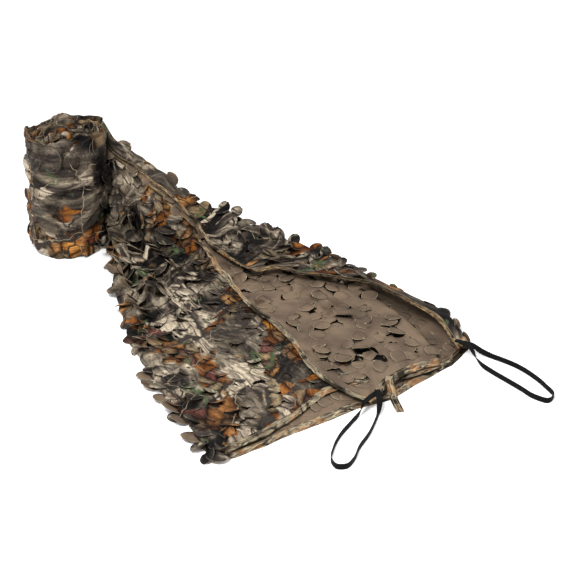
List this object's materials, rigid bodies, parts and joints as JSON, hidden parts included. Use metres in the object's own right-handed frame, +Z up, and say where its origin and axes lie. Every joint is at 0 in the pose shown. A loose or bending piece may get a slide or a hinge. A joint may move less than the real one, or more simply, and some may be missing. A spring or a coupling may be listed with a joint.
{
  "type": "camouflage net",
  "caption": "Die-cut leafy camouflage net with webbing loops, folded lengthwise, mostly rolled up on end with one end fanned out flat.",
  "frame": {"origin": "on the floor under the middle of the whole net as it lies", "axes": "+X across the free end towards its right corner, +Y from the free end back to the roll, +Z up"},
  "size_m": [0.787, 1.4977, 0.3367],
  "materials": {
    "camo_cloth": "matte",
    "binding_tape": "matte",
    "black_webbing": "matte"
  },
  "bodies": {
    "root": {"net_roll": "camo_cloth", "net_sheet": "camo_cloth", "side_binding_left": "binding_tape", "side_binding_right": "binding_tape", "end_binding": "binding_tape", "binding_tail": "binding_tape", "loop_left": "black_webbing", "loop_right": "black_webbing"}
  },
  "joints": []
}
